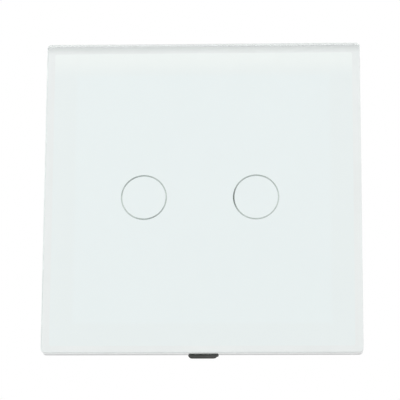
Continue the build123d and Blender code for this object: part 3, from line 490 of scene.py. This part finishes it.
def buildTape():
    # its section is a strip with a step: forward of the print's back outside the print's outline
    low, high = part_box("adhesive_tape")
    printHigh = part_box("back_print")[1]
    outer, inner, step = high.x, high.x - tapeLook["width"], printHigh.x
    radius, innerRadius, front = printLook["cornerRadius"], tapeLook["innerRadius"], low.y - printLook["into"]
    tape = squareFrame("foamTape", [(inner, innerRadius, printHigh.y), (step, radius, printHigh.y),
                                    (step, radius, front), (outer, radius, front), (outer, radius, high.y),
                                    (inner, innerRadius, high.y)])
    tape.data.materials.append(foamTape())
    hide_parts("adhesive_tape")
    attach(tape, "panel")


buildTape()
print("stage: tape")


# Coil springs that carry touch from the glass to the touch board
springLook = {"wire": 0.25 * mm, "baseRadius": 4.6 * mm, "topRadius": 3.3 * mm, "turns": 2.5, "flatShare": 0.14,
              "pitch": 28.3 * mm, "steps": 200,
              "colour": (0.70, 0.69, 0.66), "stain": (0.60, 0.59, 0.57), "bright": (0.82, 0.81, 0.79),
              "streak": 2500.0, "grain": 9000.0, "grainShade": 0.2, "roughness": (0.16, 0.32), "depth": 0.002 * mm}


def buildSprings():
    # a helix that narrows evenly; it lies flat at both ends and climbs between them in a smooth step
    material = platedMetal("springSteel", springLook)
    for side, middleX in (("left", -springLook["pitch"] / 2), ("right", springLook["pitch"] / 2)):
        node = "touch_spring_" + side
        low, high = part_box(node)
        share = np.linspace(0, 1, springLook["steps"])
        flat = springLook["flatShare"]
        climb = np.clip((share - flat) / (1 - 2 * flat), 0, 1)
        climb = climb * climb * (3 - 2 * climb)
        radius = springLook["baseRadius"] + (springLook["topRadius"] - springLook["baseRadius"]) * share
        angle = share * springLook["turns"] * 2 * np.pi
        wire = springLook["wire"]
        depth = high.y - wire + (low.y - high.y + 2 * wire) * climb
        path = np.stack([middleX + radius * np.cos(angle), depth, radius * np.sin(angle)], -1)
        spring = wireAlong("touchSpring" + side.capitalize(), path, wire)
        spring.data.materials.append(material)
        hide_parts(node)
        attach(spring, "module")
    dress(material, "panel_clips")


buildSprings()
print("stage: springs")


# Moulded pieces
whitePlasticLook = {"colour": (0.77, 0.78, 0.775), "shade": (0.74, 0.75, 0.745), "dustColour": (0.65, 0.65, 0.64),
                    "grain": 3600.0, "cloud": 60.0, "dust": 0.15, "paintedPitShade": 0.15, "roughness": (0.38, 0.5),
                    "depth": 0.006 * mm, "strength": 0.5, "specular": 0.5}
darkPlasticLook = {"colour": (0.024, 0.026, 0.022), "shade": (0.018, 0.02, 0.017), "dustColour": (0.2, 0.2, 0.19),
                   "grain": 2600.0, "cloud": 80.0, "dust": 0.5, "paintedPitShade": 0.4, "roughness": (0.52, 0.68),
                   "depth": 0.012 * mm, "strength": 0.7, "specular": 0.25}
terminalLook = dict(darkPlasticLook, colour=(0.085, 0.088, 0.088), shade=(0.065, 0.067, 0.068), grain=3400.0,
                    roughness=(0.35, 0.5), depth=0.006 * mm)
blackMouldLook = dict(darkPlasticLook, colour=(0.022, 0.022, 0.024), shade=(0.014, 0.014, 0.016), grain=6000.0,
                      roughness=(0.45, 0.6), depth=0.004 * mm)
darkPlastic = mouldedPlastic("darkPlastic", darkPlasticLook)
dress(mouldedPlastic("whitePlastic", whitePlasticLook), "panel_frame")
dress(darkPlastic, "front_cover", "rear_housing")
dress(mouldedPlastic("terminalPlastic", terminalLook), "terminal_block")
dress(mouldedPlastic("blackMould", blackMouldLook), "touch_chip", "header_body", "header_socket",
      "transformer_bobbin", "fuse", "bridge_rectifier", "regulator_chip")
print("stage: plastics")


# Lip that carries the cover's pry tongue forward, under the frame's flange, to just behind the glass
lipLook = {"middle": 0.35 * mm, "flatHalf": 3.0 * mm, "cornerRadius": 1.0 * mm, "arcSteps": 10,
           "behindGlass": 0.1 * mm, "underFlange": 0.02 * mm, "tongueFront": -3.2 * mm}


def buildTongueLip():
    # a low strip along Y; its section is the foot of a strip with two quarter-round lower corners, cut off level
    back = lipLook["tongueFront"]
    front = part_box("glass_plate")[1].y + lipLook["behindGlass"]
    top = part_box("panel_frame")[0].z - lipLook["underFlange"]
    bottom, radius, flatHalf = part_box("front_cover")[0].z, lipLook["cornerRadius"], lipLook["flatHalf"]
    lowest = np.arccos((bottom + radius - top) / radius)
    turn = np.linspace(lowest, 0, lipLook["arcSteps"] + 1)  # from the level cut down to the flat foot
    x = flatHalf + radius * np.sin(turn)
    z = bottom + radius * (1 - np.cos(turn))
    outline = np.concatenate([np.stack([x, z], -1), np.stack([-x, z], -1)[::-1]])
    outline[:, 0] += lipLook["middle"]
    count = len(outline)
    points = np.concatenate([np.stack([outline[:, 0], np.full(count, y), outline[:, 1]], -1) for y in (front, back)])
    ends = [list(range(count))[::-1], list(range(count, 2 * count))]
    lip = makeMesh("tongueLip", points, gridQuads(2, count).tolist() + ends)
    lip.data.materials.append(darkPlastic)
    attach(lip, "module")


buildTongueLip()
print("stage: tongue lip")


# Metal pieces
zincLook = {"colour": (0.60, 0.62, 0.64), "stain": (0.55, 0.56, 0.55), "bright": (0.74, 0.76, 0.78),
            "streak": 700.0, "grain": 2600.0, "grainShade": 0.3, "roughness": (0.26, 0.44), "depth": 0.003 * mm}
screwZincLook = dict(zincLook, streak=1800.0, grain=6000.0, roughness=(0.2, 0.36))
brassLook = dict(zincLook, colour=(0.72, 0.54, 0.26), stain=(0.62, 0.45, 0.2), bright=(0.85, 0.68, 0.4),
                 streak=1500.0, roughness=(0.22, 0.38))
dress(platedMetal("zincSteel", zincLook), "mounting_plate", "clamp_cage_left", "clamp_cage_middle",
      "clamp_cage_right")
dress(platedMetal("screwZinc", screwZincLook), "clip_rivets", "cover_screws", "terminal_screw_left",
      "terminal_screw_middle", "terminal_screw_right")
dress(platedMetal("brass", brassLook), "terminal_blades", "header_pins")
print("stage: metals")


# Plain finishes of the parts on the boards
filmLook = dict(whitePlasticLook, colour=(0.74, 0.72, 0.64), shade=(0.69, 0.67, 0.6), roughness=(0.3, 0.42))
ledLook = dict(whitePlasticLook, colour=(0.84, 0.84, 0.8), shade=(0.78, 0.78, 0.74), grain=7000.0)
ceramicLook = dict(blackMouldLook, colour=(0.42, 0.33, 0.24), shade=(0.34, 0.27, 0.2), grain=9000.0)
relayLook = dict(whitePlasticLook, colour=(0.03, 0.13, 0.40), shade=(0.025, 0.1, 0.33), grain=2500.0,
                 roughness=(0.22, 0.36))
ferriteLook = dict(blackMouldLook, colour=(0.075, 0.075, 0.08), shade=(0.045, 0.045, 0.05), grain=4200.0,
                   roughness=(0.5, 0.68), depth=0.015 * mm)
windingLook = dict(whitePlasticLook, colour=(0.78, 0.62, 0.09), shade=(0.68, 0.52, 0.06), roughness=(0.2, 0.32))
filmCaseLook = dict(whitePlasticLook, colour=(0.74, 0.52, 0.1), shade=(0.66, 0.45, 0.08), roughness=(0.24, 0.38))
sleeveLook = dict(blackMouldLook, colour=(0.03, 0.035, 0.06), shade=(0.02, 0.025, 0.045), roughness=(0.2, 0.32))
varistorLook = dict(whitePlasticLook, colour=(0.04, 0.12, 0.42), shade=(0.03, 0.1, 0.35), grain=1500.0,
                    roughness=(0.2, 0.36), depth=0.02 * mm)
dress(mouldedPlastic("insulatingFilm", filmLook), "insulating_sheet")
dress(mouldedPlastic("ledBody", ledLook), "indicator_leds")
dress(mouldedPlastic("ceramicChip", ceramicLook), "touch_board_small_parts")
dress(mouldedPlastic("relayCase", relayLook), "relay_left", "relay_right")
dress(mouldedPlastic("ferrite", ferriteLook), "transformer_core", "filter_choke")
dress(mouldedPlastic("windingTape", windingLook), "transformer_winding")
dress(mouldedPlastic("filmCase", filmCaseLook), "film_capacitor")
dress(mouldedPlastic("canSleeve", sleeveLook), "reservoir_capacitor", "output_capacitor")
dress(mouldedPlastic("varistorCoat", varistorLook), "varistor")
print("stage: small parts")


# Printed circuit boards
boardLook = {"mask": (0.015, 0.12, 0.055), "overCopper": (0.03, 0.2, 0.09), "weave": 2200.0, "traces": 420.0,
             "traceEdge": (0.42, 0.46), "roughness": (0.22, 0.34), "depth": 0.02 * mm}


def circuitBoard():
    # solder mask, darker between the tracks, over the weave of the glass cloth
    material, tree, shader = newMaterial("circuitBoard")
    point = objectPoint(tree)
    cells = put(tree, "TexVoronoi", {"Vector": point, "Scale": boardLook["traces"]}, distance="MANHATTAN")
    track = spread(tree, cells.outputs[0], 0, 1, *boardLook["traceEdge"])
    weaveAcross = put(tree, "TexWave", {"Vector": point, "Scale": boardLook["weave"] / 6}, bands_direction="X")
    weaveUp = put(tree, "TexWave", {"Vector": point, "Scale": boardLook["weave"] / 6}, bands_direction="Z")
    cloth = calc(tree, "MULTIPLY", weaveAcross.outputs["Fac"], weaveUp.outputs["Fac"])
    feed(tree, shader.inputs["Base Color"], blendColour(tree, track, boardLook["mask"], boardLook["overCopper"]))
    feed(tree, shader.inputs["Roughness"], spread(tree, cloth, *boardLook["roughness"]))
    height = calc(tree, "MULTIPLY_ADD", track, 1.0, calc(tree, "MULTIPLY", cloth, 0.2))
    feed(tree, shader.inputs["Normal"], bumpFrom(tree, height, boardLook["depth"], 0.6))
    return material


dress(circuitBoard(), "touch_board", "power_board")
print("stage: boards")


# Floor, light and camera
stageLook = {"floorDepth": 0.26, "floorRadius": 3.0, "floorRings": 12, "floorSteps": 96,
             "floorColour": (0.7, 0.7, 0.7), "floorGrain": 30.0, "floorRoughness": (0.6, 0.7),
             "haze": 0.3,  # share of background white near the part; it grows to one from fadeFrom to fadeTo
             "fadeFrom": 1.5, "fadeTo": 2.8, "worldLight": 0.6}
lamps = {
    "keyLamp": {"place": (-0.65, -0.8, 0.5), "size": 0.6, "power": 4.95},
    "fillLamp": {"place": (0.75, -0.6, 0.15), "size": 0.6, "power": 2.0},
    "backLamp": {"place": (0.45, 0.8, 0.65), "size": 0.6, "power": 3.4},
}
cameraLook = {"place": (0.022674, -0.548441, -0.138576), "right": (0.99911, 0.04172, 0.00538),
              "up": (0.00508, -0.24647, 0.96914), "focalPixels": 2216.5, "framePixels": 400}


def backgroundFactor(tree):
    # one where a ray comes straight from the camera, or by way of metal or glass alone
    path = put(tree, "LightPath").outputs
    seen = calc(tree, "MAXIMUM", path["Is Camera Ray"],
                calc(tree, "MAXIMUM", path["Is Glossy Ray"], path["Is Transmission Ray"]))
    return calc(tree, "MULTIPLY", seen, calc(tree, "LESS_THAN", path["Diffuse Depth"], 0.5))


def buildWorld():
    world = bpy.data.worlds.new("softStudio")
    scene.world = world
    world.use_nodes = True
    tree = world.node_tree
    lit = tree.nodes["Background"]
    lit.inputs["Color"].default_value = (1, 1, 1, 1)
    lit.inputs["Strength"].default_value = stageLook["worldLight"]
    white = put(tree, "Background", {"Color": (1, 1, 1), "Strength": 1.0})
    mixed = put(tree, "MixShader", {0: backgroundFactor(tree), 1: lit.outputs[0], 2: white.outputs[0]})
    tree.links.new(mixed.outputs[0], tree.nodes["World Output"].inputs["Surface"])


def buildFloor():
    # a flat disc of rings; it keeps the shadow near the part and fades to the white background
    rings, steps = stageLook["floorRings"], stageLook["floorSteps"]
    radius = stageLook["floorRadius"] * np.linspace(0.02, 1, rings)[:, None]
    angle = np.arange(steps)[None] * 2 * np.pi / steps
    x, y = radius * np.cos(angle), radius * np.sin(angle)
    points = np.stack([x, y, np.full_like(x, -stageLook["floorDepth"])], -1).reshape(-1, 3)
    floor = makeMesh("floor", points, gridQuads(rings, steps)[:, ::-1].tolist() + [list(range(steps))])
    material, tree, shader = newMaterial("paleFloor")
    point = objectPoint(tree)
    parts = put(tree, "SeparateXYZ", {0: point}).outputs
    away = calc(tree, "SQRT", calc(tree, "ADD", calc(tree, "POWER", parts["X"], 2.0),
                                   calc(tree, "POWER", parts["Y"], 2.0)))
    fade = spread(tree, away, stageLook["haze"], 1.0, stageLook["fadeFrom"], stageLook["fadeTo"], "SMOOTHSTEP")
    noise = put(tree, "TexNoise", {"Vector": point, "Scale": stageLook["floorGrain"], "Detail": 3.0}).outputs[0]
    feed(tree, shader.inputs["Base Color"], stageLook["floorColour"])
    feed(tree, shader.inputs["Roughness"], spread(tree, noise, *stageLook["floorRoughness"]))
    white = put(tree, "Emission", {"Color": (1, 1, 1), "Strength": 1.0})
    factor = calc(tree, "MULTIPLY", fade, backgroundFactor(tree))
    mixed = put(tree, "MixShader", {0: factor, 1: shader.outputs[0], 2: white.outputs[0]})
    tree.links.new(mixed.outputs[0], tree.nodes["Material Output"].inputs["Surface"])
    floor.data.materials.append(material)


def buildLamps():
    middle = (cadLow + cadHigh) / 2
    for name, lamp in lamps.items():
        light = bpy.data.lights.new(name, "AREA")
        light.size = lamp["size"]
        light.energy = lamp["power"]
        holder = bpy.data.objects.new(name, light)
        holder.location = lamp["place"]
        holder.rotation_euler = (middle - Vector(lamp["place"])).to_track_quat("-Z", "Y").to_euler()
        scene.collection.objects.link(holder)


def buildCamera():
    camera = bpy.data.cameras.new("camera")
    camera.sensor_width = 36.0
    camera.lens = 36.0 * cameraLook["focalPixels"] / cameraLook["framePixels"]
    camera.clip_start = 0.01
    holder = bpy.data.objects.new("camera", camera)
    right, up = Vector(cameraLook["right"]).normalized(), Vector(cameraLook["up"]).normalized()
    back = right.cross(up)
    holder.matrix_world = Matrix.Translation(cameraLook["place"]) @ Matrix((right, up, back)).transposed().to_4x4()
    scene.collection.objects.link(holder)
    scene.camera = holder


buildWorld()
buildFloor()
buildLamps()
buildCamera()
scene.view_settings.view_transform = "Standard"
print("stage: floor, light and camera")
